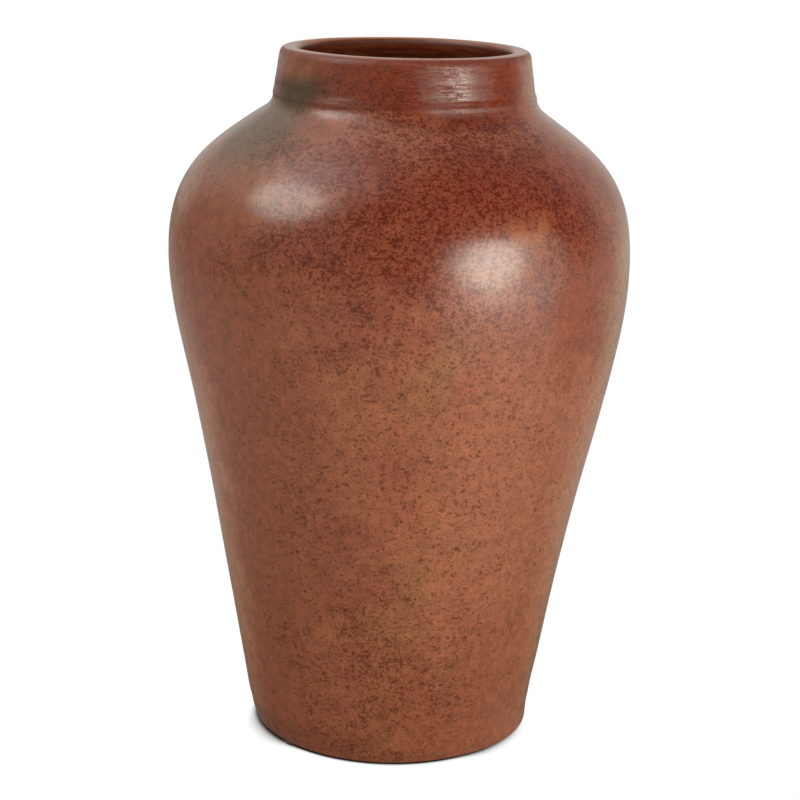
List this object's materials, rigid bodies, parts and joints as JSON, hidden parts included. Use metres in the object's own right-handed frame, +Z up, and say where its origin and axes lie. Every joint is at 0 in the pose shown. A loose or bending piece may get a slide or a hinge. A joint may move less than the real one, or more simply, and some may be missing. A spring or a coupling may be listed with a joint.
{
  "type": "bulbous vase",
  "caption": "Tall bulbous floor vase in burnished red clay, with a high shoulder, a short collar, a tapered foot and felt pads under its foot ring.",
  "frame": {"origin": "on the floor, under the centre of the vase, at the underside of the felt pads", "axes": "+Z up along the vase's axis, -Y towards the front of the picture"},
  "size_m": [0.3024, 0.3024, 0.457],
  "materials": {
    "terracotta": "burnished and waxed red clay, mottled dark red and brown, satin",
    "felt": "dark pressed felt"
  },
  "bodies": {
    "root": {"vase_body": "terracotta", "felt_pad_front_right": "felt", "felt_pad_rear_right": "felt", "felt_pad_rear_left": "felt", "felt_pad_front_left": "felt"}
  },
  "joints": []
}
